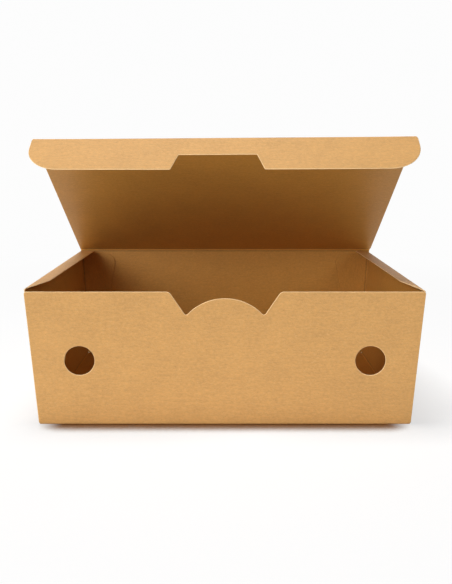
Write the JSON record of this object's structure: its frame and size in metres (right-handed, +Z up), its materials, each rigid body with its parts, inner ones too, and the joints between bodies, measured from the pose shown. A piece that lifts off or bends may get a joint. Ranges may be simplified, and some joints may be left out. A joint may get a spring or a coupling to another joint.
{
  "type": "takeaway box",
  "caption": "Kraft board takeaway box with tapered walls, vent holes, dust flaps, a notched front and a hinged lid with a tuck flap.",
  "frame": {"origin": "middle of the tray's flat underside", "axes": "+X along the front, to the right in front view; +Y from the front wall to the hinge; +Z up"},
  "size_m": [0.2052, 0.1501, 0.1496],
  "materials": {
    "kraft_board": "matt unbleached kraft board with fine fibres"
  },
  "bodies": {
    "tray": {"tray": "kraft_board"},
    "lid": {"lid": "kraft_board"},
    "tuck_flap": {"tuck_flap": "kraft_board"}
  },
  "joints": [
    {"name": "lid_hinge", "type": "hinge", "parent": "tray", "child": "lid", "pos_m": [0, 0.075, 0.0725], "axis": [-1, 0, 0], "range_deg": [-30.4, 169.6]},
    {"name": "tuck_fold", "type": "hinge", "parent": "lid", "child": "tuck_flap", "pos_m": [0, -0.05481, 0.14924], "axis": [1, 0, 0], "range_deg": [-70.2, 23.8]}
  ]
}
